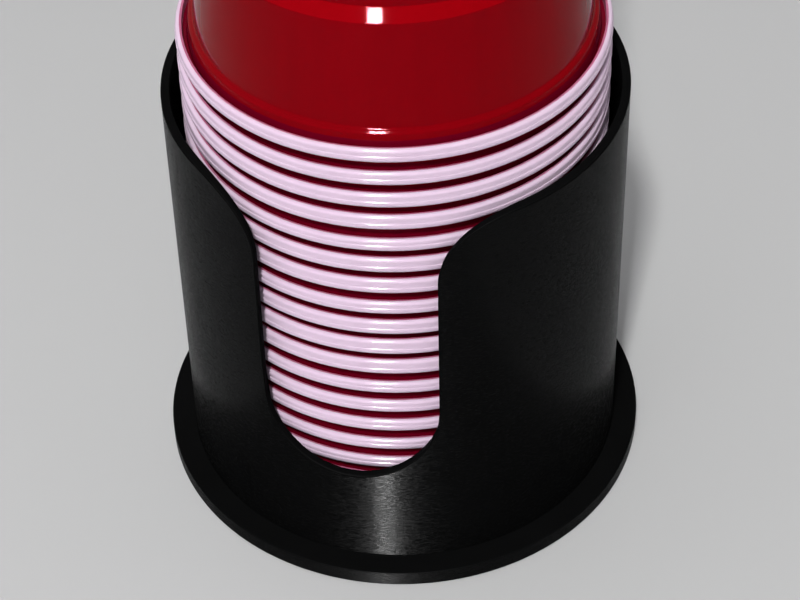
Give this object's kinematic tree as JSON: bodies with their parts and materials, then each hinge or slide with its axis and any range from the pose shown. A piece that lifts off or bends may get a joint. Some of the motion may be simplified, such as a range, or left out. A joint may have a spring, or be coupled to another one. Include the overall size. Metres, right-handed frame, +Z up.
{
  "type": "cup holder with stacked party cups",
  "caption": "Round counter-top cup holder: a black sleeve with a front slot on a flanged base plate, holding a stack of red party cups mouth down.",
  "frame": {"origin": "centre of the base plate's underside, on the table", "axes": "+Z up along the stack, -Y towards the slot at the front, +X to the right of someone facing the slot"},
  "size_m": [0.1156, 0.1156, 0.2392],
  "materials": {
    "black_plastic": "satin, fine horizontal layer lines",
    "red_cup": "glossy red outside, white inside and on the rolled rim"
  },
  "bodies": {
    "holder": {"base_plate": "black_plastic", "sleeve": "black_plastic"},
    "lifted_cup_01": {"cup_01": "red_cup"},
    "lifted_cup_02": {"cup_02": "red_cup"},
    "lifted_cup_03": {"cup_03": "red_cup"},
    "lifted_cup_04": {"cup_04": "red_cup"},
    "lifted_cup_05": {"cup_05": "red_cup"},
    "lifted_cup_06": {"cup_06": "red_cup"},
    "lifted_cup_07": {"cup_07": "red_cup"},
    "lifted_cup_08": {"cup_08": "red_cup"},
    "lifted_cup_09": {"cup_09": "red_cup"},
    "lifted_cup_10": {"cup_10": "red_cup"},
    "lifted_cup_11": {"cup_11": "red_cup"},
    "lifted_cup_12": {"cup_12": "red_cup"},
    "lifted_cup_13": {"cup_13": "red_cup"},
    "lifted_cup_14": {"cup_14": "red_cup"},
    "lifted_cup_15": {"cup_15": "red_cup"},
    "lifted_cup_16": {"cup_16": "red_cup"},
    "lifted_cup_17": {"cup_17": "red_cup"},
    "lifted_cup_18": {"cup_18": "red_cup"},
    "lifted_cup_19": {"cup_19": "red_cup"},
    "lifted_cup_20": {"cup_20": "red_cup"}
  },
  "joints": [
    {"name": "cup_01_lift", "type": "slide", "parent": "holder", "child": "lifted_cup_01", "axis": [0, 0, 1], "range_m": [0, 0.119]},
    {"name": "cup_02_lift", "type": "slide", "parent": "lifted_cup_01", "child": "lifted_cup_02", "axis": [0, 0, 1], "range_m": [0, 0.119]},
    {"name": "cup_03_lift", "type": "slide", "parent": "lifted_cup_02", "child": "lifted_cup_03", "axis": [0, 0, 1], "range_m": [0, 0.119]},
    {"name": "cup_04_lift", "type": "slide", "parent": "lifted_cup_03", "child": "lifted_cup_04", "axis": [0, 0, 1], "range_m": [0, 0.119]},
    {"name": "cup_05_lift", "type": "slide", "parent": "lifted_cup_04", "child": "lifted_cup_05", "axis": [0, 0, 1], "range_m": [0, 0.119]},
    {"name": "cup_06_lift", "type": "slide", "parent": "lifted_cup_05", "child": "lifted_cup_06", "axis": [0, 0, 1], "range_m": [0, 0.119]},
    {"name": "cup_07_lift", "type": "slide", "parent": "lifted_cup_06", "child": "lifted_cup_07", "axis": [0, 0, 1], "range_m": [0, 0.119]},
    {"name": "cup_08_lift", "type": "slide", "parent": "lifted_cup_07", "child": "lifted_cup_08", "axis": [0, 0, 1], "range_m": [0, 0.119]},
    {"name": "cup_09_lift", "type": "slide", "parent": "lifted_cup_08", "child": "lifted_cup_09", "axis": [0, 0, 1], "range_m": [0, 0.119]},
    {"name": "cup_10_lift", "type": "slide", "parent": "lifted_cup_09", "child": "lifted_cup_10", "axis": [0, 0, 1], "range_m": [0, 0.119]},
    {"name": "cup_11_lift", "type": "slide", "parent": "lifted_cup_10", "child": "lifted_cup_11", "axis": [0, 0, 1], "range_m": [0, 0.119]},
    {"name": "cup_12_lift", "type": "slide", "parent": "lifted_cup_11", "child": "lifted_cup_12", "axis": [0, 0, 1], "range_m": [0, 0.119]},
    {"name": "cup_13_lift", "type": "slide", "parent": "lifted_cup_12", "child": "lifted_cup_13", "axis": [0, 0, 1], "range_m": [0, 0.119]},
    {"name": "cup_14_lift", "type": "slide", "parent": "lifted_cup_13", "child": "lifted_cup_14", "axis": [0, 0, 1], "range_m": [0, 0.119]},
    {"name": "cup_15_lift", "type": "slide", "parent": "lifted_cup_14", "child": "lifted_cup_15", "axis": [0, 0, 1], "range_m": [0, 0.119]},
    {"name": "cup_16_lift", "type": "slide", "parent": "lifted_cup_15", "child": "lifted_cup_16", "axis": [0, 0, 1], "range_m": [0, 0.119]},
    {"name": "cup_17_lift", "type": "slide", "parent": "lifted_cup_16", "child": "lifted_cup_17", "axis": [0, 0, 1], "range_m": [0, 0.119]},
    {"name": "cup_18_lift", "type": "slide", "parent": "lifted_cup_17", "child": "lifted_cup_18", "axis": [0, 0, 1], "range_m": [0, 0.119]},
    {"name": "cup_19_lift", "type": "slide", "parent": "lifted_cup_18", "child": "lifted_cup_19", "axis": [0, 0, 1], "range_m": [0, 0.119]},
    {"name": "cup_20_lift", "type": "slide", "parent": "lifted_cup_19", "child": "lifted_cup_20", "axis": [0, 0, 1], "range_m": [0, 0.119]}
  ]
}
